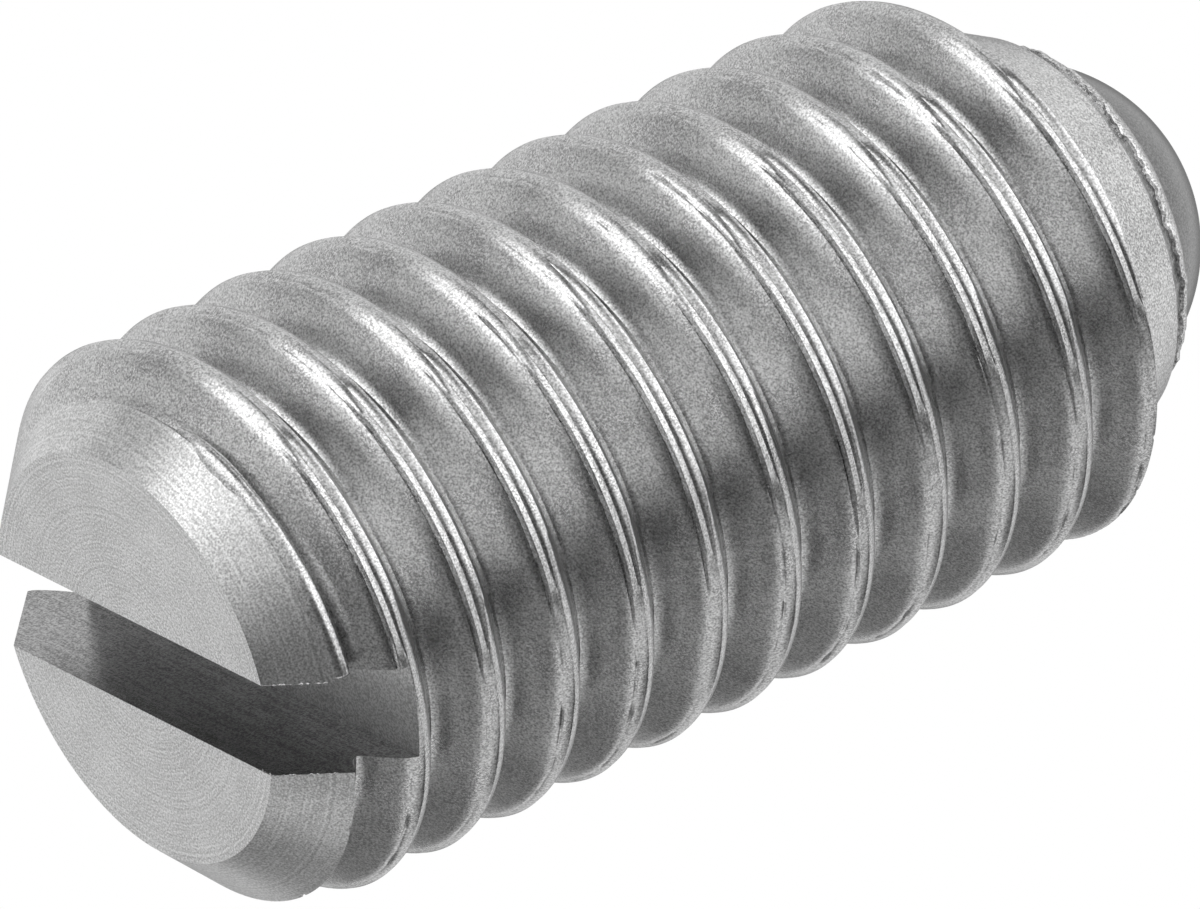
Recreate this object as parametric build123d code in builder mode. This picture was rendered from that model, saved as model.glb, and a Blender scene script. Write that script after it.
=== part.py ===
from build123d import *
from math import radians, sqrt, tan
import os

# A slotted ball spring plunger: a threaded sleeve that screws into a tapped hole,
# a ball held in its nose by a rolled-in lip, and the spring that pushes the ball out.
# It stands on the slotted end, with Z along the axis and the ball on top. Millimetres.

# Sleeve thread, a right-hand metric coarse thread with blunt rolled crests
thread_diameter = 8.0
thread_pitch = 1.25
thread_angle = 60
crest_width = 0.28
root_width = 0.16
crest_height_at_slot_end = 0.38

# Sleeve ends
sleeve_length = 16.0
slot_end_chamfer = 1.1
thread_end_angle = 60
neck_angle = 28
nose_ring_wall = 0.29
lip_height = 0.54
lip_top_width = 0.08

# Screwdriver slot across the lower face, a little off the middle
slot_width = 1.35
slot_depth = 1.6
slot_side_shift = 0.1

# Ball and the blind bore that guides it
ball_diameter = 5.0
ball_stroke = 1.5
ball_running_gap = 0.05
bore_floor_wall = 1.6
bore_point_depth = 0.4

# Compression spring, one closed turn at each end
spring_wire = 0.8
spring_side_gap = 0.3
spring_active_turns = 7
closed_turn_gap = 0.04
spring_seat_gap = 0.04

# Places that follow from the sizes above
thread_radius = thread_diameter / 2
ball_radius = ball_diameter / 2
bore_radius = ball_radius + ball_running_gap
ball_centre_z = sleeve_length + ball_stroke - ball_radius
bore_floor_z = slot_depth + bore_floor_wall
nose_ring_z = sleeve_length - lip_height
nose_ring_radius = bore_radius + nose_ring_wall
lip_inner_radius = sqrt(bore_radius**2 - (sleeve_length - ball_centre_z) ** 2)
clear_radius = thread_radius + thread_pitch

# The ridge's section: flanks at half the thread angle, sunk a little into the core
flank_slope = tan(radians(thread_angle / 2))
ridge_foot = (thread_pitch - root_width) / 2
ridge_height = (ridge_foot - crest_width / 2) / flank_slope
root_radius = thread_radius - ridge_height
ridge_sink = ridge_height / 10
sunk_foot = ridge_foot + ridge_sink * flank_slope

# The thread ends on a steep shoulder, and a slimmer neck leads from it to the nose ring
neck_start_z = nose_ring_z - (root_radius - nose_ring_radius) / tan(radians(neck_angle))
shoulder_rise = (clear_radius - root_radius) / tan(radians(thread_end_angle))

# The ridge and the core run past both ends, which are trimmed afterwards
ridge_start_z = crest_height_at_slot_end - 2 * thread_pitch
ridge_rise = sleeve_length + 3 * thread_pitch
core_start_z = ridge_start_z - thread_pitch
core_length = ridge_rise + 2 * thread_pitch

# Threaded sleeve: a core with one helical ridge, trimmed by the turned outline,
# bored for the ball and slotted
with BuildPart() as threaded_sleeve:
    with Locations((0, 0, core_start_z)):
        Cylinder(root_radius, core_length, align=(Align.CENTER, Align.CENTER, Align.MIN))
    with BuildLine() as ridge_path:
        Helix(
            pitch=thread_pitch,
            height=ridge_rise,
            radius=root_radius,
            center=(0, 0, ridge_start_z),
        )
    ridge_plane = Plane(ridge_path.line @ 0, x_dir=(1, 0, 0), z_dir=ridge_path.line % 0)
    with BuildSketch(ridge_plane):
        with BuildLine():
            Polyline(
                (-ridge_sink, -sunk_foot),
                (ridge_height, -crest_width / 2),
                (ridge_height, crest_width / 2),
                (-ridge_sink, sunk_foot),
                close=True,
            )
        make_face()
    sweep(path=ridge_path.line, is_frenet=True)

    with BuildSketch(Plane.XZ):
        with BuildLine():
            Polyline(
                (0, 0),
                (thread_radius - slot_end_chamfer, 0),
                (clear_radius, clear_radius - thread_radius + slot_end_chamfer),
                (clear_radius, neck_start_z - shoulder_rise),
                (root_radius, neck_start_z),
                (nose_ring_radius, nose_ring_z),
                (lip_inner_radius + lip_top_width, sleeve_length),
                (0, sleeve_length),
                close=True,
            )
        make_face()
    revolve(axis=Axis.Z, mode=Mode.INTERSECT)

    with BuildSketch(Plane.XZ):
        with BuildLine():
            Polyline(
                (lip_inner_radius, sleeve_length),
                (0, sleeve_length),
                (0, bore_floor_z - bore_point_depth),
                (bore_radius, bore_floor_z),
                (bore_radius, ball_centre_z),
            )
            RadiusArc(
                (bore_radius, ball_centre_z),
                (lip_inner_radius, sleeve_length),
                -bore_radius,
            )
        make_face()
    revolve(axis=Axis.Z, mode=Mode.SUBTRACT)

    with BuildSketch(Plane.XY):
        with Locations((0, slot_side_shift)):
            Rectangle(2 * clear_radius, slot_width)
    extrude(amount=slot_depth, mode=Mode.SUBTRACT)

# Ball, pushed out against the lip
with BuildPart() as ball:
    with Locations((0, 0, ball_centre_z)):
        Sphere(ball_radius)

# Spring, from the floor of the bore up to the ball, which sits in its last turn
wire_radius = spring_wire / 2
coil_radius = bore_radius - spring_side_gap - wire_radius
seat_reach = ball_radius + wire_radius + spring_seat_gap
coil_bottom_z = bore_floor_z + wire_radius + spring_seat_gap
coil_top_z = ball_centre_z - sqrt(seat_reach**2 - coil_radius**2)
closed_pitch = spring_wire + closed_turn_gap
active_height = coil_top_z - coil_bottom_z - 2 * closed_pitch
active_pitch = active_height / spring_active_turns
stretches = [
    (coil_bottom_z, closed_pitch, closed_pitch),
    (coil_bottom_z + closed_pitch, active_pitch, active_height),
    (coil_top_z - closed_pitch, closed_pitch, closed_pitch),
]

with BuildPart() as compression_spring:
    with BuildLine() as wire_path:
        for start_z, pitch, rise in stretches:
            Helix(pitch=pitch, height=rise, radius=coil_radius, center=(0, 0, start_z))
    first_turn = wire_path.line.edges().sort_by(Axis.Z)[0]
    with BuildSketch(Plane(first_turn @ 0, z_dir=first_turn % 0)):
        Circle(wire_radius)
    sweep(path=wire_path.line, is_frenet=True)

os.makedirs("parts", exist_ok=True)

threaded_sleeve.part.label = "threaded_sleeve"
ball.part.label = "ball"
compression_spring.part.label = "compression_spring"

export_step(threaded_sleeve.part, "parts/threaded_sleeve.step")
export_step(ball.part, "parts/ball.step")
export_step(compression_spring.part, "parts/compression_spring.step")
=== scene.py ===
import math

import bpy
import numpy as np
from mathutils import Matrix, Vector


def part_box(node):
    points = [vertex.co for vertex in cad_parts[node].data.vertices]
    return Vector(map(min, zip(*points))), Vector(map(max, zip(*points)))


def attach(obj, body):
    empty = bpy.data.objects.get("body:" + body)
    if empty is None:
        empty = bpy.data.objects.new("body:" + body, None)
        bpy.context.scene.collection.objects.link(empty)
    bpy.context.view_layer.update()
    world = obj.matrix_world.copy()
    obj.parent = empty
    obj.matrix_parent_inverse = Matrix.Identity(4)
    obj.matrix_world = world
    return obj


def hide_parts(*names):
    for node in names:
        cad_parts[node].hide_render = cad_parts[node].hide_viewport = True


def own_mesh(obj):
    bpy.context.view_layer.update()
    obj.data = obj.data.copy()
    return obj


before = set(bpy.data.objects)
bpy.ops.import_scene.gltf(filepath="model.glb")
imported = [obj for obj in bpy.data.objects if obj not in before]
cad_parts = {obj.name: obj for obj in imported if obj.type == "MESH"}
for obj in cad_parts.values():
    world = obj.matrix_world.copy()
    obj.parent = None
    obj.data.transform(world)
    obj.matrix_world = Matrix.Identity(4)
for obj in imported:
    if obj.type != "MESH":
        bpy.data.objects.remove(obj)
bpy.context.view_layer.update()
mm = 0.001
print("frame loaded:", ", ".join(sorted(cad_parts)))

world = bpy.data.worlds.new("studio")
bpy.context.scene.world = world
bpy.context.scene.view_settings.view_transform = "Standard"


# Shader helpers

class Wire:
    # Wraps a socket so that a formula can be written with it. Each operator adds one Math node.
    def __init__(self, shader, socket):
        self.shader = shader
        self.socket = socket

    def calc(self, operation, *terms):
        return self.shader.node("ShaderNodeMath", {"operation": operation}, dict(enumerate(terms)))

    def __add__(self, other):
        return self.calc("ADD", self, other)

    def __sub__(self, other):
        return self.calc("SUBTRACT", self, other)

    def __rsub__(self, other):
        return self.calc("SUBTRACT", other, self)

    def __mul__(self, other):
        return self.calc("MULTIPLY", self, other)

    __radd__ = __add__
    __rmul__ = __mul__

    def root(self):
        return self.calc("SQRT", self)

    def clamped(self):
        return self.calc("MINIMUM", self.calc("MAXIMUM", self, 0.0), 1.0)


class Shader:
    def __init__(self, owner):
        owner.use_nodes = True
        self.owner = owner
        self.tree = owner.node_tree
        self.tree.nodes.clear()

    def node(self, kind, settings=None, inputs=None, output=0):
        # One way to make any node: its settings first, then values or links on its sockets
        made = self.tree.nodes.new(kind)
        for key, value in (settings or {}).items():
            setattr(made, key, value)
        for key, value in (inputs or {}).items():
            if isinstance(value, Wire):
                self.tree.links.new(value.socket, made.inputs[key])
            else:
                made.inputs[key].default_value = value
        return Wire(self, made.outputs[output]) if made.outputs else made

    def objectPlace(self):
        return self.node("ShaderNodeTexCoord", output="Object")

    def noise(self, place, perMm, detail=3.0, rough=0.55):
        # Soft random pattern, perMm lumps in a millimetre
        inputs = {"Vector": place, "Scale": perMm / mm, "Detail": detail, "Roughness": rough}
        return self.node("ShaderNodeTexNoise", {"noise_dimensions": "3D"}, inputs)

    def stretched(self, place, scale):
        return self.node("ShaderNodeMapping", inputs={"Vector": place, "Scale": scale})

    def blend(self, factor, first, second):
        # Mixes two colours, the second where factor is 1. A Mix node's colours are its sockets 6 and 7.
        settings = {"data_type": "RGBA"}
        return self.node("ShaderNodeMix", settings, {0: factor, 6: first, 7: second}, output=2)

    def bump(self, height, depthMm):
        inputs = {"Height": height, "Distance": depthMm * mm, "Strength": 1.0}
        return self.node("ShaderNodeBump", inputs=inputs)


def grey(level):
    return (level, level, level, 1.0)


def metal(name, values, pattern):
    # A metal whose colour, roughness and bump come from pattern(shader, values)
    shader = Shader(bpy.data.materials.new(name))
    colour, roughness, normal = pattern(shader, values)
    inputs = {"Base Color": colour, "Roughness": roughness, "Normal": normal, "Metallic": 1.0}
    if "across" in values:
        # Rings round Z blur reflections across themselves
        inputs.update({"Anisotropic": values["across"], "Anisotropic Rotation": 0.25})
    surface = shader.node("ShaderNodeBsdfPrincipled", inputs=inputs)
    shader.node("ShaderNodeOutputMaterial", inputs={"Surface": surface})
    return shader.owner


# Metals

# colour and spread are the grey and how far it strays, marks counts grains, rings or scratches in a mm,
# markShare is their part in the colour, and depth is their height in mm
rolledValues = {
    "colour": 0.45, "spread": 0.38, "rough": 0.28, "roughSpread": 0.12,
    "marks": 22.0, "markShare": 0.9, "depth": 0.0012,
}
turnedValues = {
    "colour": 0.54, "spread": 0.38, "rough": 0.34, "roughSpread": 0.08,
    "marks": 26.0, "markShare": 0.9, "depth": 0.0025,
    "across": 0.6,              # anisotropy, which blurs reflections across the rings
    "patches": 0.8, "faintest": 0.4, "range": 1.2,    # patches in a mm, in which the rings show more or less
}
neckValues = {
    "colour": 0.50, "spread": 0.50, "rough": 0.30, "roughSpread": 0.12,
    "marks": 24.0, "markShare": 1.0, "depth": 0.0016,
}
# The slot walls' colour of 0.29 is painted shade. It is darker than the other steel, for the shade inside the
# slot.
milledScratchAndPaintedShadeValues = {
    "colour": 0.29, "spread": 0.26, "rough": 0.24, "roughSpread": 0.04,
    "marks": 34.0, "markShare": 1.6, "depth": 0.0008,
    "drawnOut": 0.03,           # a scratch's width beside its length
}
slotFloorValues = {
    "colour": 0.54, "spread": 0.32, "rough": 0.36, "roughSpread": 0.04,
    "marks": 34.0, "markShare": 1.0, "depth": 0.0012,
}
# The ball's colour of 0.20 is painted shade. It is far darker than its steel, and stands in for the darker
# light that the ball reflects.
ballGrainAndPaintedShadeValues = {
    "colour": 0.20, "spread": 0.12, "rough": 0.24, "roughSpread": 0.06,
    "marks": 22.0, "markShare": 0.8, "depth": 0.0005,
}
wireValues = {
    "colour": 0.45, "spread": 0.10, "rough": 0.35, "roughSpread": 0.08,
    "marks": 14.0, "markShare": 1.0, "depth": 0.0015,
}
boreValues = {
    "colour": 0.40, "spread": 0.10, "rough": 0.45, "roughSpread": 0.08,
    "marks": 14.0, "markShare": 1.0, "depth": 0.0020,
}
# On all the steel: grains of the finest speckle and broad faint clouds in a mm, the part of each in the
# colour, and what the marks and the speckle add to the bump
grainValues = {
    "speckle": 34.0, "speckleShare": 2.8, "clouds": 1.3, "cloudShare": 0.6,
    "markBump": 0.7, "speckleBump": 0.3,
}


def finish(shader, values, marks):
    # Colour, roughness and bump of steel from its own marks, a fine speckle and broad faint clouds
    place = shader.objectPlace()
    fine = shader.noise(place, grainValues["speckle"], 1.0, 0.6)
    broad = shader.noise(place, grainValues["clouds"])
    mask = 0.5 + (marks - 0.5) * values["markShare"]
    mask = mask + (fine - 0.5) * grainValues["speckleShare"] + (broad - 0.5) * grainValues["cloudShare"]
    dark, pale = (grey(values["colour"] + side * values["spread"]) for side in (-0.5, 0.5))
    roughness = (values["rough"] + (broad - 0.5) * values["roughSpread"]).clamped()
    height = marks * grainValues["markBump"] + fine * grainValues["speckleBump"]
    return shader.blend(mask.clamped(), dark, pale), roughness, shader.bump(height, values["depth"])


def grainy(shader, values):
    return finish(shader, values, shader.noise(shader.objectPlace(), values["marks"], 2.0, 0.6))


def facedRings(shader, values):
    # Fine uneven rings round the axis, which the facing tool leaves
    place = shader.objectPlace()
    x, y = (shader.node("ShaderNodeSeparateXYZ", inputs={"Vector": place}, output=axis) for axis in "XY")
    radius = (x * x + y * y).root()
    inputs = {"W": radius, "Scale": values["marks"] / mm, "Detail": 2.0, "Roughness": 0.6}
    rings = shader.node("ShaderNodeTexNoise", {"noise_dimensions": "1D"}, inputs)
    shown = values["faintest"] + shader.noise(place, values["patches"]) * values["range"]
    return finish(shader, values, 0.5 + (rings - 0.5) * shown)


def scratched(shader, values):
    # Long scratches along X, which the slot cutter leaves
    along = shader.stretched(shader.objectPlace(), (values["drawnOut"], 1.0, 1.0))
    return finish(shader, values, shader.noise(along, values["marks"], 3.0, 0.6))


rolledSteel = metal("rolledSteel", rolledValues, grainy)
turnedSteel = metal("turnedSteel", turnedValues, facedRings)
neckSteel = metal("neckSteel", neckValues, grainy)
# The slot walls' material carries painted shade in its dark colour
milledSteelWithPaintedShade = metal("milledSteelWithPaintedShade", milledScratchAndPaintedShadeValues, scratched)
slotFloorSteel = metal("slotFloorSteel", slotFloorValues, grainy)
boreSteel = metal("boreSteel", boreValues, grainy)
# The ball's material carries painted shade in its dark colour
ballSteelWithPaintedShade = metal("ballSteelWithPaintedShade", ballGrainAndPaintedShadeValues, grainy)
springSteel = metal("springSteel", wireValues, grainy)
print("materials made")


# Mesh helpers

def meshFrom(name, points, triangles, materials, finishOf=None):
    mesh = bpy.data.meshes.new(name)
    mesh.from_pydata(points.tolist(), [], triangles.tolist())
    for material in materials:
        mesh.materials.append(material)
    if finishOf is not None:
        mesh.polygons.foreach_set("material_index", finishOf.astype(np.int32))
    mesh.polygons.foreach_set("use_smooth", np.ones(len(triangles), bool))
    mesh.update()
    piece = bpy.data.objects.new(name, mesh)
    bpy.context.scene.collection.objects.link(piece)
    return piece


def quadTriangles(first, second, third, fourth):
    # Two triangles for each quad, from four index arrays in order round the quad
    one = np.stack([first, second, third], -1).reshape(-1, 3)
    two = np.stack([first, third, fourth], -1).reshape(-1, 3)
    return np.concatenate([one, two])


def keepReal(triangles):
    # True for the triangles whose three corners differ
    return ((triangles[:, 0] != triangles[:, 1]) & (triangles[:, 1] != triangles[:, 2])
            & (triangles[:, 2] != triangles[:, 0]))


def tube(path, across, up, around):
    # Points and triangles of a closed tube: place = path + cos b * across + sin b * up
    b = np.arange(around) * 2 * math.pi / around
    ring = path[:, None] + np.cos(b)[None, :, None] * across[:, None] + np.sin(b)[None, :, None] * up[:, None]
    rows = len(path)
    index = np.arange(rows * around).reshape(rows, around)
    after = np.roll(index, -1, 1)
    sides = quadTriangles(index[:-1], index[1:], after[1:], after[:-1])
    start = np.stack([np.full(around, rows * around), index[0], after[0]], -1)
    end = np.stack([np.full(around, rows * around + 1), after[-1], index[-1]], -1)
    return np.concatenate([ring.reshape(-1, 3), path[[0, -1]]]), np.concatenate([sides, start, end])


def ripple(angle, waves):
    # Sum of sines: amount * sin(frequency * angle + shift)
    total = np.zeros_like(angle)
    for amount, frequency, shift in waves:
        total += amount * np.sin(frequency * angle + shift)
    return total


# Threaded sleeve

sleeveValues = {
    # Sizes in mm and angles in degrees. A ripple lists the amount, frequency and shift of its sines.
    "pitch": 1.25,
    "crestPlace": 0.3828,       # height of the first crest's middle at angle 0
    "chamfer": 1.1,
    "endAngle": 60,             # of the shoulder that ends the thread, from the axis
    "neckAngle": 28,
    "ringHeight": 0.54,         # from the lip's top down to the nose ring
    "ringWall": 0.29,           # metal outside the bore at the nose ring
    "runningGap": 0.05,         # between the ball and the bore
    "boreFloor": 3.2,
    "borePoint": 0.4,
    "slotWidth": 1.35,
    "slotDepth": 1.6,
    "slotShift": 0.1,
    "columns": 220,
    "sharpAngle": 34,           # edges sharper than this aren't smoothed
    # Flanks: place across the crest, slot side first, and drop below the crest
    "flanks": [
        (-0.625, 0.655), (-0.57, 0.615), (-0.46, 0.445), (-0.34, 0.262), (-0.26, 0.150),
        (-0.20, 0.090), (-0.16, 0.066), (-0.04, 0.0), (0.135, 0.060), (0.19, 0.115),
        (0.27, 0.215), (0.40, 0.40), (0.50, 0.57), (0.56, 0.630), (0.625, 0.655),
    ],
    "leftRows": (-0.625, -0.195, 10),    # first place, last place, number of rows
    "rightRows": (0.165, 0.58, 10),
    # The crest between them, as rolling leaves it: place, drop where the fold is open (a notch, a flat lip,
    # a seam and a round lip), and drop where the fold is pressed shut
    "crest": [
        (-0.176, 0.076, 0.075), (-0.163, 0.080, 0.067), (-0.150, 0.088, 0.060), (-0.137, 0.012, 0.052),
        (-0.124, 0.0, 0.044), (-0.085, 0.008, 0.024), (-0.030, 0.019, 0.006), (-0.014, 0.034, 0.020),
        (0.002, 0.052, 0.014), (0.018, 0.042, 0.017), (0.042, 0.031, 0.025), (0.075, 0.020, 0.038),
        (0.110, 0.014, 0.053), (0.138, 0.019, 0.068),
    ],
    "fold": (-36, 28, 14),      # round the axis: middle, half width and soft edge of the open part
    "foldLean": -50,            # how far its middle moves, for each mm across the crest
    "foldTaper": 20,            # how much less it is open on each side, for each mm from the crest's middle
    "foldRipple": [(0.09, 1.37, 0.6), (0.07, 3.9, 1.8)],    # of its ends, in radians
    "notch": (-0.148, 0.016),   # place and half width of what wavers with the edge ripple
    "seam": (-0.004, 0.018),    # the same for the seam ripple
    "edgeRipple": [(0.006, 3.7, 0.4), (0.005, 9.1, 1.9), (0.004, 23.3, 0.7), (0.003, 51.7, 2.8)],
    "seamRipple": [(0.005, 5.3, 1.1), (0.005, 14.9, 0.3), (0.004, 37.1, 2.2)],
    # The rolled lip above the nose ring: in from its radius, up from it, share of the lip ripple
    "lip": [
        (0.040, 0.030, 0.2), (0.150, 0.115, 0.4), (0.238, 0.212, 0.7), (0.308, 0.300, 1.0),
        (0.258, 0.322, 1.0), (0.268, 0.376, 0.8), (0.318, 0.436, 0.5), (0.380, 0.490, 0.3),
        (0.430, 0.528, 0.0),
    ],
    "lipTop": 0.05,             # how far outside the opening its top lies
    "lipEdge": 0.02,            # how far below its top its inner edge lies
    "lipRipple": [(0.010, 3, 0.8), (0.011, 11, 2.1), (0.012, 23, 0.5), (0.011, 47, 1.3), (0.010, 83, 0.9)],
    "lipRippleOut": 0.5,        # how far the lip ripple goes outwards beside upwards
    "seatRows": 9,              # in the rounded seat under the lip
}
touching = 0.0001               # a row this near the end face or the nose ring, in mm, counts as on it
sleeveSteels = [rolledSteel, turnedSteel, neckSteel, boreSteel, milledSteelWithPaintedShade, slotFloorSteel]
rolledFace, turnedFace, neckFace, boreFace = range(4)    # places of the first four in that list


def sleeveSizes(values):
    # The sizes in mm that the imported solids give, and those that follow from them
    low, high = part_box("threaded_sleeve")
    ballLow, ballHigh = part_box("ball")
    length = (high.z - low.z) / mm
    radius = round((high.x - low.x) / mm, 2) / 2
    boreRadius = (ballHigh.z - ballLow.z) / mm / 2 + values["runningGap"]
    return {
        "length": length,
        "radius": radius,
        "faceRadius": radius - values["chamfer"],
        "boreRadius": boreRadius,
        "ballCentre": (ballHigh.z + ballLow.z) / mm / 2,
        "ringTop": length - values["ringHeight"],
        "ringRadius": boreRadius + values["ringWall"],
    }


def smoothLine(place, stops):
    # Cubic between two stops, with the slope of their neighbours at each
    x, y = np.array(stops).T
    slope = np.gradient(y, x)
    slope[[0, -1]] = 0
    k = np.clip(np.searchsorted(x, place, side="right") - 1, 0, len(x) - 2)
    step = x[k + 1] - x[k]
    t = (place - x[k]) / step
    return ((1 + 2 * t) * (1 - t) ** 2 * y[k] + t * (1 - t) ** 2 * step * slope[k]
            + t * t * (3 - 2 * t) * y[k + 1] + t * t * (t - 1) * step * slope[k + 1])


def bell(place, groove):
    # exp(-((place - middle) / half width)^2)
    return np.exp(-((place - groove[0]) / groove[1]) ** 2)


def threadSurface(values, size):
    # Helical grid. Row k*P+p, of P rows a turn, is at angle a at height = crestPlace + pitch * (k + a/2pi)
    # + across[p] and at radius - drop[p]. The drop goes from shut to open inside the fold's sector, and
    # notch and seam waver.
    angle = np.arange(values["columns"] + 1) * 2 * math.pi / values["columns"]
    crestAcross, openDrop, shutDrop = np.array(values["crest"]).T
    left, right = np.linspace(*values["leftRows"]), np.linspace(*values["rightRows"])
    leftDrop, rightDrop = smoothLine(left, values["flanks"]), smoothLine(right, values["flanks"])
    across = np.concatenate([left, crestAcross, right])[None, :, None]
    shut = np.concatenate([leftDrop, shutDrop, rightDrop])[None, :, None]
    opened = np.concatenate([leftDrop, openDrop, rightDrop])[None, :, None]
    turns = np.arange(-1, int(size["length"] / values["pitch"]) + 1)
    run = angle[None, None, :] + 2 * math.pi * turns[:, None, None]
    edge = ripple(run, values["edgeRipple"]) * bell(across, values["notch"])
    seam = ripple(run, values["seamRipple"]) * bell(across, values["seam"])

    middle, halfWidth, edgeWidth = np.radians(values["fold"])
    lean = math.radians(values["foldLean"]) * across
    taper = math.radians(values["foldTaper"]) * np.abs(across)
    away = np.abs((run - middle - lean + math.pi) % (2 * math.pi) - math.pi)
    away = away + taper + ripple(run, values["foldRipple"])
    share = np.clip((halfWidth - away) / edgeWidth + 0.5, 0, 1)
    drop = shut + (opened - shut) * share * share * (3 - 2 * share)

    height = values["crestPlace"] + values["pitch"] * run / (2 * math.pi) + across + edge
    radial = size["radius"] - drop - np.abs(seam) - np.abs(edge)
    return angle, height.reshape(-1, len(angle)), radial.reshape(-1, len(angle)), across.size


def turnedOutline(place, values, size):
    # The smaller of the chamfer, faceRadius + place, and the nose. The nose is the larger of two cones: the
    # neck, ringRadius + (ringTop - place) * neckSlope, and the shoulder, rootRadius + (neckStart - place)
    # * endSlope. A slope is the tangent of its angle.
    neckSlope, endSlope = (math.tan(math.radians(values[name])) for name in ("neckAngle", "endAngle"))
    rootRadius = size["radius"] - values["flanks"][0][1]
    neckStart = size["ringTop"] - (rootRadius - size["ringRadius"]) / neckSlope
    neck = size["ringRadius"] + (size["ringTop"] - place) * neckSlope
    shoulder = rootRadius + (neckStart - place) * endSlope
    return np.minimum(size["faceRadius"] + place, np.maximum(neck, shoulder))


def trimThread(height, thread, values, size):
    # The smaller of the thread and the turned outline. Where they meet between two rows, the nearer row moves
    # onto the meeting line.
    lead = thread - turnedOutline(height, values, size)
    share = lead[:-1] / np.where(lead[:-1] == lead[1:], 1, lead[:-1] - lead[1:])
    meeting = height[:-1] + share * (height[1:] - height[:-1])
    crosses = lead[:-1] * lead[1:] < 0
    lower = crosses & (share < 0.5)
    upper = crosses & (share >= 0.5)
    height = height.copy()
    height[:-1][lower] = meeting[lower]
    height[1:][upper] = meeting[upper]
    snapped = np.zeros(height.shape, bool)
    snapped[:-1] |= lower
    snapped[1:] |= upper
    outline = turnedOutline(height, values, size)
    radial = np.where(snapped, outline, np.minimum(thread, outline))
    return height, radial, (lead > 0) | snapped


def noseSteps(values, size):
    # Radius, height, share of the lip ripple and finish of each ring: over the lip, then round the seat,
    # (boreRadius * cos a, ballCentre + boreRadius * sin a), and down to the bore's floor
    boreRadius, length = size["boreRadius"], size["length"]
    opening = math.sqrt(boreRadius ** 2 - (length - size["ballCentre"]) ** 2)
    steps = [(size["ringRadius"] - inward, size["ringTop"] + upward, share, neckFace)
             for inward, upward, share in values["lip"]]
    steps.append((opening + values["lipTop"], length, 0, neckFace))
    steps.append((opening, length - values["lipEdge"], 0, neckFace))
    for a in np.linspace(math.acos(opening / boreRadius), 0, values["seatRows"])[1:]:
        steps.append((boreRadius * math.cos(a), size["ballCentre"] + boreRadius * math.sin(a), 0, boreFace))
    return steps + [(boreRadius, values["boreFloor"], 0, boreFace)]


def makeSleeve(values):
    size = sleeveSizes(values)
    angle, height, thread, perTurn = threadSurface(values, size)
    height, radial, onOutline = trimThread(height, thread, values, size)
    rows, count = height.shape[0], values["columns"]
    below = height <= touching
    above = height >= size["ringTop"] - touching
    cos, sin = np.cos(angle[:count]), np.sin(angle[:count])

    def circle(r, z):
        r = np.broadcast_to(r, (count,))
        return np.stack([r * cos, r * sin, np.broadcast_to(z, (count,))], -1)

    # Column 360 degrees on is column 0 one turn of rows further, so only columns 0..count-1 are kept
    helix = np.stack([radial[:, :count] * cos, radial[:, :count] * sin, height[:, :count]], -1)
    points = [helix.reshape(-1, 3), circle(size["faceRadius"], 0.0)]
    points.append(circle(size["ringRadius"], size["ringTop"]))
    faceRing = rows * count + np.arange(count)
    noseRing = faceRing + count
    index = np.arange(rows * count).reshape(rows, count)
    index = np.where(below[:, :count], faceRing[None, :], index)
    index = np.where(above[:, :count], noseRing[None, :], index)
    after = np.concatenate([index[:, 1:], np.zeros((rows, 1), int)], 1)
    after[:-perTurn, -1] = index[perTurn:, 0]
    after[-perTurn:, -1] = noseRing[0]
    triangles = [quadTriangles(index[:-1], after[:-1], after[1:], index[1:])]
    turned = onOutline | below | above
    flat = turned[:-1, :-1] & turned[1:, :-1] & turned[:-1, 1:] & turned[1:, 1:]
    nearNose = height[:-1, :count] > size["length"] / 2
    finishOf = [np.tile(np.where(flat, np.where(nearNose, neckFace, turnedFace), rolledFace).reshape(-1), 2)]

    ringRipple = ripple(angle[:count], values["lipRipple"])
    last = noseRing
    for r, z, share, face in noseSteps(values, size):
        ring = last + count
        points.append(circle(r + ringRipple * share * values["lipRippleOut"], z + ringRipple * share))
        triangles.append(quadTriangles(last, np.roll(last, -1), np.roll(ring, -1), ring))
        finishOf.append(np.full(2 * count, face))
        last = ring
    points.append(np.array([[0, 0, values["boreFloor"] - values["borePoint"]], [0, 0, 0]]))
    borePole = np.full(count, last[-1] + 1)
    faceMiddle = borePole + 1
    triangles.append(np.stack([last, np.roll(last, -1), borePole], -1))
    finishOf.append(np.full(count, boreFace))
    triangles.append(np.stack([faceRing, faceMiddle, np.roll(faceRing, -1)], -1))
    finishOf.append(np.full(count, turnedFace))

    triangles, finishOf = np.concatenate(triangles), np.concatenate(finishOf)
    real = keepReal(triangles)
    used, triangles = np.unique(triangles[real], return_inverse=True)
    triangles = triangles.reshape(-1, 3)
    sleeve = meshFrom("sleeve", np.concatenate(points)[used] * mm, triangles, sleeveSteels, finishOf[real])
    print("sleeve grid:", len(triangles), "triangles")
    cutSlot(sleeve, values, size["radius"])
    sleeve.data.set_sharp_from_angle(angle=math.radians(values["sharpAngle"]))
    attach(sleeve, "sleeve")
    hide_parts("threaded_sleeve")


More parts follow.
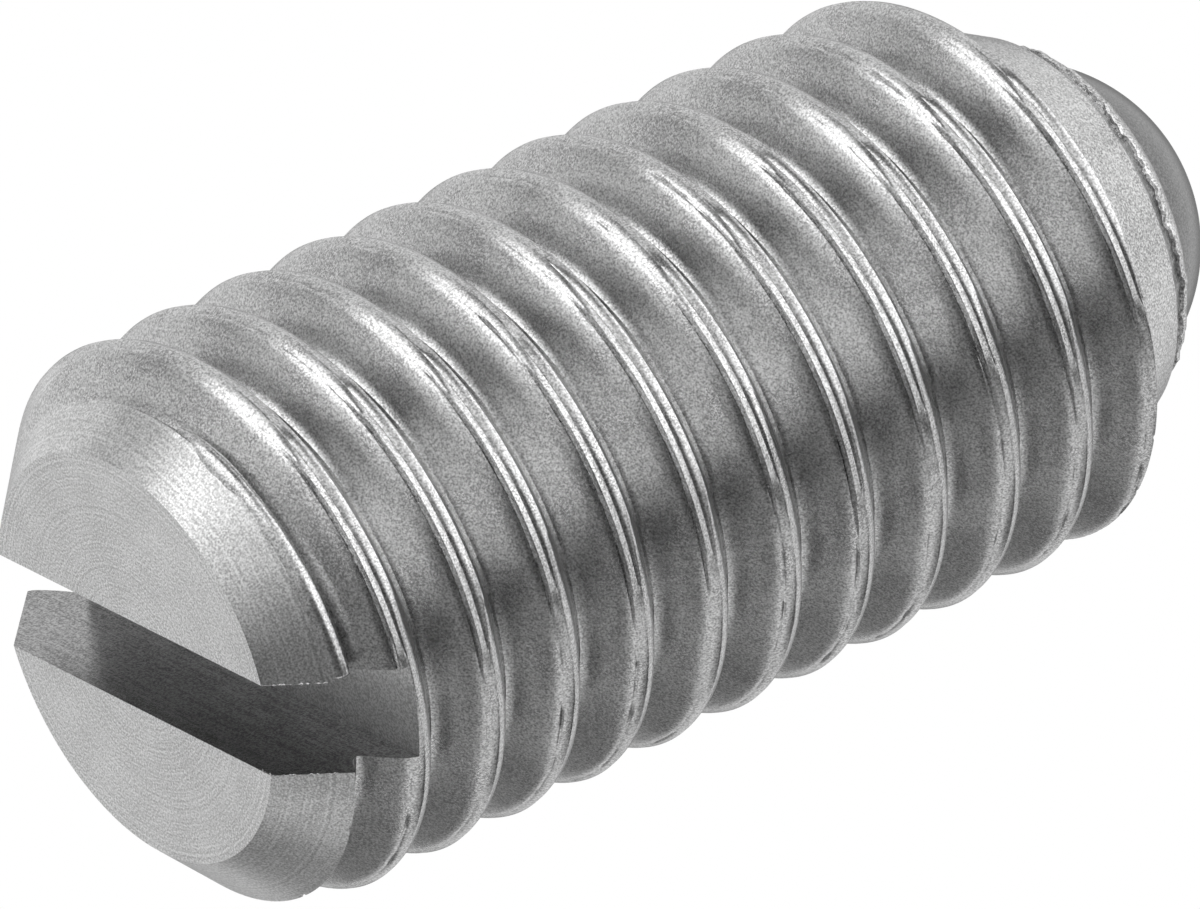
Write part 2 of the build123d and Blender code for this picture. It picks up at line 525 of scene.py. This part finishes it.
def cutSlot(sleeve, values, radius):
    # A plain block across the face, taken away from the sleeve. It brings milled walls, whose dark colour is
    # painted shade in the slot, and a grainy floor.
    over = 1                    # mm that the block reaches past the sleeve
    corner = np.array([[-1, -1, -1], [1, -1, -1], [1, 1, -1], [-1, 1, -1],
                       [-1, -1, 1], [1, -1, 1], [1, 1, 1], [-1, 1, 1]])
    x = corner[:, 0] * (radius + over)
    y = values["slotShift"] + corner[:, 1] * values["slotWidth"] / 2
    z = np.where(corner[:, 2] > 0, values["slotDepth"], -over)
    quads = np.array([[0, 3, 2, 1], [4, 5, 6, 7], [0, 1, 5, 4], [2, 3, 7, 6], [1, 2, 6, 5], [3, 0, 4, 7]])
    triangles = quadTriangles(*quads.T)
    finishOf = np.tile(np.array([0, 1, 0, 0, 0, 0]), 2)
    steels = [milledSteelWithPaintedShade, slotFloorSteel]
    cutter = meshFrom("slotCutter", np.stack([x, y, z], -1) * mm, triangles, steels, finishOf)
    cutter.data.polygons.foreach_set("use_smooth", np.zeros(len(triangles), bool))
    cut = sleeve.modifiers.new("slot", "BOOLEAN")
    cut.object = cutter
    cut.operation = "DIFFERENCE"
    cut.solver = "EXACT"
    cut.material_mode = "TRANSFER"
    graph = bpy.context.evaluated_depsgraph_get()
    finished = bpy.data.meshes.new_from_object(sleeve.evaluated_get(graph))
    sleeve.modifiers.clear()
    sleeve.data = finished
    bpy.data.objects.remove(cutter)
    print("slot cut:", len(finished.polygons), "faces,", [m.name for m in finished.materials])


makeSleeve(sleeveValues)
print("sleeve made")


# Raised edges that rolling and slotting leave on the sleeve

beadValues = {
    "start": -78, "end": -10,   # degrees round the axis, where the first groove leaves the chamfer
    "halfWidth": 0.175, "height": 0.280, "aside": 0.11, "sunk": 0.200, "steps": 160, "around": 32,
    "upright": (0.97, 0.24),    # outwards and towards the nose
    "growth": 6,                # it reaches full size after its length divided by this
    "tip": 0.02,                # share of its size at the very start
    "search": 200,             # steps across the flank in which its line is found
    "waver": [(0.05, 9.3, 0.2), (0.03, 23.7, 1.1), (0.015, 57.0, 2.0)],
}
burrValues = {
    "inner": 2.70, "outer": 3.52, "size": 0.015, "steps": 120, "around": 8,
    "upright": (0.7, 0.0, -0.7),    # outwards along X and down, square to the chamfer
    "least": 0.12, "low": 0.8,  # smallest share of the size, and half height beside half width
    "lift": 0.2, "clear": 1.2,  # in sizes: above the chamfer, and above the floor
    "waver": [(0.7, 31.0, 0.3), (0.6, 77.0, 1.7), (0.5, 121.0, 0.9)],
}


def makeBead(name, path, across, up, around):
    # Thin rounded ridge along a path in mm
    points, triangles = tube(path, across, up, around)
    bead = meshFrom(name, points * mm, triangles, [rolledSteel])
    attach(bead, "sleeve")


def makeThreadStart(values, thread):
    # Follows the line where the first groove's flank, radius - drop, meets the chamfer, faceRadius + height
    size = sleeveSizes(thread)
    angle = np.radians(np.linspace(values["start"], values["end"], values["steps"]))
    place = np.linspace(thread["rightRows"][0], thread["rightRows"][1], values["search"])
    height = thread["crestPlace"] + thread["pitch"] * angle[:, None] / (2 * math.pi) + place[None, :]
    lead = size["radius"] - smoothLine(place, thread["flanks"])[None, :] - (size["faceRadius"] + height)
    meeting = np.argmax(lead < 0, axis=1)
    z = height[np.arange(len(angle)), meeting]
    outward = np.stack([np.cos(angle), np.sin(angle), 0 * angle], -1)
    path = outward * (size["faceRadius"] + z)[:, None]
    path[:, 2] = z
    share = np.linspace(0, 1, values["steps"])
    swell = np.minimum(1, share * values["growth"]) ** 0.5 * (1 + ripple(angle, values["waver"]))
    swell[0] = values["tip"]
    up = outward * values["upright"][0] + np.array([0, 0, values["upright"][1]])
    across = np.cross(up, np.gradient(path, axis=0))
    across /= np.linalg.norm(across, axis=1)[:, None]
    swell = swell[:, None]
    path += across * values["aside"] - up * values["sunk"] * swell
    makeBead("threadStart", path, across * values["halfWidth"] * swell, up * values["height"] * swell,
             values["around"])


def makeSlotBurrs(values, thread):
    # Along the slot's edges on the chamfer, at radius r and height r - faceRadius
    faceRadius = sleeveSizes(thread)["faceRadius"]
    r = np.linspace(values["inner"], values["outer"], values["steps"])
    for name, side in (("slotBurrFront", -1), ("slotBurrBack", 1)):
        y = thread["slotShift"] + side * thread["slotWidth"] / 2
        path = np.stack([np.sqrt(r ** 2 - y ** 2), np.full(len(r), y), np.maximum(r - faceRadius, 0.0)], -1)
        width = values["size"] * (values["least"] + np.maximum(ripple(r, values["waver"]), 0))[:, None]
        up = np.tile(values["upright"], (len(r), 1))
        across = np.tile([0.0, 1.0, 0.0], (len(r), 1))
        path += up * values["lift"] * values["size"]
        path[:, 2] = np.maximum(path[:, 2], values["clear"] * values["size"])
        makeBead(name, path, across * width, up * width * values["low"], values["around"])


makeThreadStart(beadValues, sleeveValues)
makeSlotBurrs(burrValues, sleeveValues)
print("raised edges made")


# Ball

ballShape = {"rows": 96, "columns": 144}


def makeBall(values):
    # Sphere: place = centre + R * (sin t cos a, sin t sin a, cos t), t from 0 to pi
    low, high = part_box("ball")
    ballRadius = (high.z - low.z) / 2
    centre = np.array((low + high) / 2)
    rows, count = values["rows"], values["columns"]
    t = np.linspace(0, math.pi, rows + 1)[1:-1, None]
    a = np.arange(count)[None, :] * 2 * math.pi / count
    x = np.sin(t) * np.cos(a)
    y = np.sin(t) * np.sin(a)
    z = np.cos(t) + 0 * a
    ring = np.stack([x, y, z], -1).reshape(-1, 3)
    points = np.concatenate([ring, [[0, 0, 1], [0, 0, -1]]]) * ballRadius + centre
    index = np.arange((rows - 1) * count).reshape(rows - 1, count)
    after = np.roll(index, -1, 1)
    top, bottom = len(ring), len(ring) + 1
    sides = quadTriangles(index[:-1], index[1:], after[1:], after[:-1])
    upper = np.stack([np.full(count, top), index[0], after[0]], -1)
    lower = np.stack([np.full(count, bottom), after[-1], index[-1]], -1)
    ball = meshFrom("steelBall", points, np.concatenate([sides, upper, lower]), [ballSteelWithPaintedShade])
    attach(ball, "ball")
    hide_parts("ball")


makeBall(ballShape)
print("ball made")


# Spring

springShape = {
    "wire": 0.8, "closedPitch": 0.84, "stroke": 1.5,    # mm
    "activeTurns": 7, "perTurn": 80, "around": 16,
    "sharpAngle": 40,
}


def makeSpring(values):
    # Tube round the path (C cos a, C sin a, h(a)), where h rises by the closed pitch in the first and last
    # turns and evenly between. Each ring lies across the path, on its outward and its upward direction.
    low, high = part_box("compression_spring")
    wire = values["wire"] * mm / 2
    coil = (high.x - low.x) / 2 - wire
    turns = values["activeTurns"] + 2    # a closed turn at each end
    closed = values["closedPitch"] * mm
    bottom, top = low.z + wire, high.z - wire
    a = np.linspace(0, turns * 2 * math.pi, turns * values["perTurn"] + 1)
    turnsAt = np.array([0, 1, turns - 1, turns]) * 2 * math.pi
    h = np.interp(a, turnsAt, [bottom, bottom + closed, top - closed, top])
    rise = np.gradient(h, a)
    outward = np.stack([np.cos(a), np.sin(a), 0 * a], -1)
    forward = np.stack([-coil * np.sin(a), coil * np.cos(a), rise], -1) / np.hypot(coil, rise)[:, None]
    upward = np.cross(outward, forward)
    path = outward * coil
    path[:, 2] = h
    points, triangles = tube(path, outward * wire, upward * wire, values["around"])
    spring = meshFrom("coilSpring", points, triangles, [springSteel])
    spring.data.set_sharp_from_angle(angle=math.radians(values["sharpAngle"]))
    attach(spring, "sleeve")
    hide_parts("compression_spring")
    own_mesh(spring)


makeSpring(springShape)
print("spring made")


# Floor, daylight and lamp

stageValues = {
    "floorSize": 0.4, "floorDrop": 0.00002, "floorColour": 0.9,
    "daylight": 0.6,            # the world's light on matt things, beside its white of 1
    "lampLevel": 0.45, "lampSpread": 40, "lampTurn": (35, 20, 0),
}


def makeFloor(values):
    # White where the camera looks at it from above, and clear for all else
    half = values["floorSize"] / 2
    corners = np.array([[-half, -half, 0], [half, -half, 0], [half, half, 0], [-half, half, 0]])
    corners[:, 2] = -values["floorDrop"]
    shader = Shader(bpy.data.materials.new("floorWhite"))
    seen = shader.node("ShaderNodeLightPath", output="Is Camera Ray")
    under = shader.node("ShaderNodeNewGeometry", output="Backfacing")
    white = shader.node("ShaderNodeBsdfDiffuse", inputs={"Color": grey(values["floorColour"])})
    clear = shader.node("ShaderNodeBsdfTransparent")
    surface = shader.node("ShaderNodeMixShader", inputs={0: seen * (1 - under), 1: clear, 2: white})
    shader.node("ShaderNodeOutputMaterial", inputs={"Surface": surface})
    floor = meshFrom("floor", corners, np.array([[0, 1, 2], [0, 2, 3]]), [shader.owner])


def makeWorld(level):
    # White for what the camera and the metal see, level for plain daylight on matt things
    shader = Shader(world)
    rays = ("Is Camera Ray", "Is Glossy Ray", "Is Transmission Ray")
    shown = sum(shader.node("ShaderNodeLightPath", output=ray) for ray in rays).clamped()
    strength = level + (1 - level) * shown
    surface = shader.node("ShaderNodeBackground", inputs={"Color": grey(1.0), "Strength": strength})
    shader.node("ShaderNodeOutputWorld", inputs={"Surface": surface})
    world.cycles.sampling_method = "NONE"


def makeLamp(values):
    # One broad soft lamp for the floor and its shadow. Metal shows the cards instead.
    lamp = bpy.data.lights.new("softLamp", "SUN")
    lamp.energy = values["lampLevel"] * math.pi
    lamp.angle = math.radians(values["lampSpread"])
    hung = bpy.data.objects.new("softLamp", lamp)
    hung.rotation_euler = [math.radians(a) for a in values["lampTurn"]]
    hung.visible_glossy = False
    bpy.context.scene.collection.objects.link(hung)


makeFloor(stageValues)
makeWorld(stageValues["daylight"])
makeLamp(stageValues)


# Studio cards and softboxes round the object, which only shiny things show

cardValues = {
    "distance": 0.45, "apart": 0.004, "middle": (0, 0, 0.008), "rings": 12, "columns": 40,
    "softness": 0.6,            # share of the half angle over which a card fades out
    # direction from the object, half angle in degrees, brightness beside a white background of 1
    "cards": {
        "topSoftbox": ((0.48, -0.53, 0.70), 38, 2.2),
        "sideSoftbox": ((0.87, -0.44, 0.21), 33, 2.2),
        "lowSoftbox": ((-0.06, -0.88, -0.47), 31, 2.7),
        "faceSoftbox": ((-0.50, 0.20, -0.84), 36, 0.92),
        "sideFlag": ((0.91, 0.21, 0.35), 25, 0.06),
        "cameraFlag": ((0.88, -0.04, -0.47), 45, 0.06),
        "backFlag": ((0.37, 0.86, 0.35), 28, 0.06),
        "farFlag": ((-0.38, 0.86, -0.34), 36, 0.26),
        "underFlag": ((0.16, 0.38, -0.91), 48, 0.28),
        "leftFlag": ((-0.61, -0.62, -0.49), 32, 0.60),
        "skyFlag": ((-0.69, 0.45, 0.57), 35, 0.30),
        "frontFlag": ((0.05, -0.99, 0.10), 26, 0.08),
    },
}


def makeCard(name, number, direction, halfAngle, level, values):
    # Cap of a sphere round the object: place = middle + R * (cos t * d + sin t * (cos a * u + sin a * v)),
    # with t from 0 to the half angle. Its share stays 1 in the middle and fades to 0 at the rim.
    d = np.array(direction) / np.linalg.norm(direction)
    u = np.cross(d, (0.0, 0.0, 1.0))
    u /= np.linalg.norm(u)
    v = np.cross(d, u)
    out = np.linspace(0, 1, values["rings"] + 1)[1:, None]
    share = np.minimum((1 - out) / values["softness"], 1)
    t = out * math.radians(halfAngle)
    a = np.arange(values["columns"])[None, :] * 2 * math.pi / values["columns"]
    rings = (np.cos(t)[..., None] * d
             + (np.sin(t) * np.cos(a))[..., None] * u + (np.sin(t) * np.sin(a))[..., None] * v)
    reach = values["distance"] + number * values["apart"]
    points = np.concatenate([rings.reshape(-1, 3), d[None, :]]) * reach + values["middle"]
    index = np.arange(share.size * a.size).reshape(share.size, a.size)
    after = np.roll(index, -1, 1)
    sides = quadTriangles(index[:-1], index[1:], after[1:], after[:-1])
    cap = np.stack([np.full(a.size, index.size), index[0], after[0]], -1)
    shader = Shader(bpy.data.materials.new(name))
    soft = shader.node("ShaderNodeAttribute", {"attribute_name": "share"}, output="Fac")
    glow = shader.node("ShaderNodeEmission", inputs={"Color": grey(1.0), "Strength": level})
    clear = shader.node("ShaderNodeBsdfTransparent")
    surface = shader.node("ShaderNodeMixShader", inputs={0: soft * soft * (3 - 2 * soft), 1: clear, 2: glow})
    shader.node("ShaderNodeOutputMaterial", inputs={"Surface": surface})
    card = meshFrom(name, points, np.concatenate([sides, cap]), [shader.owner])
    fade = card.data.attributes.new("share", "FLOAT", "POINT")
    fade.data.foreach_set("value", np.append(np.repeat(share, a.size), 1.0).astype(np.float32))
    card.visible_camera = False
    card.visible_diffuse = False
    card.visible_shadow = False


for number, (name, (direction, halfAngle, level)) in enumerate(cardValues["cards"].items()):
    makeCard(name, number, direction, halfAngle, level, cardValues)
print("stage made")


# Camera, at the photograph's place: below the slotted end, with a long lens

cameraValues = {
    "place": (0.217375, -0.136171, -0.145313),
    "turn": (144.60986, -51.05675, 10.30585),
    "lens": 675.7, "sensor": 36,
    "nearest": 0.01, "farthest": 10,
}
cameraData = bpy.data.cameras.new("camera")
camera = bpy.data.objects.new("camera", cameraData)
bpy.context.scene.collection.objects.link(camera)
bpy.context.scene.camera = camera
camera.location = cameraValues["place"]
camera.rotation_euler = [math.radians(a) for a in cameraValues["turn"]]
cameraData.lens = cameraValues["lens"]
cameraData.sensor_width = cameraValues["sensor"]
cameraData.clip_start = cameraValues["nearest"]
cameraData.clip_end = cameraValues["farthest"]

print("scene ready")
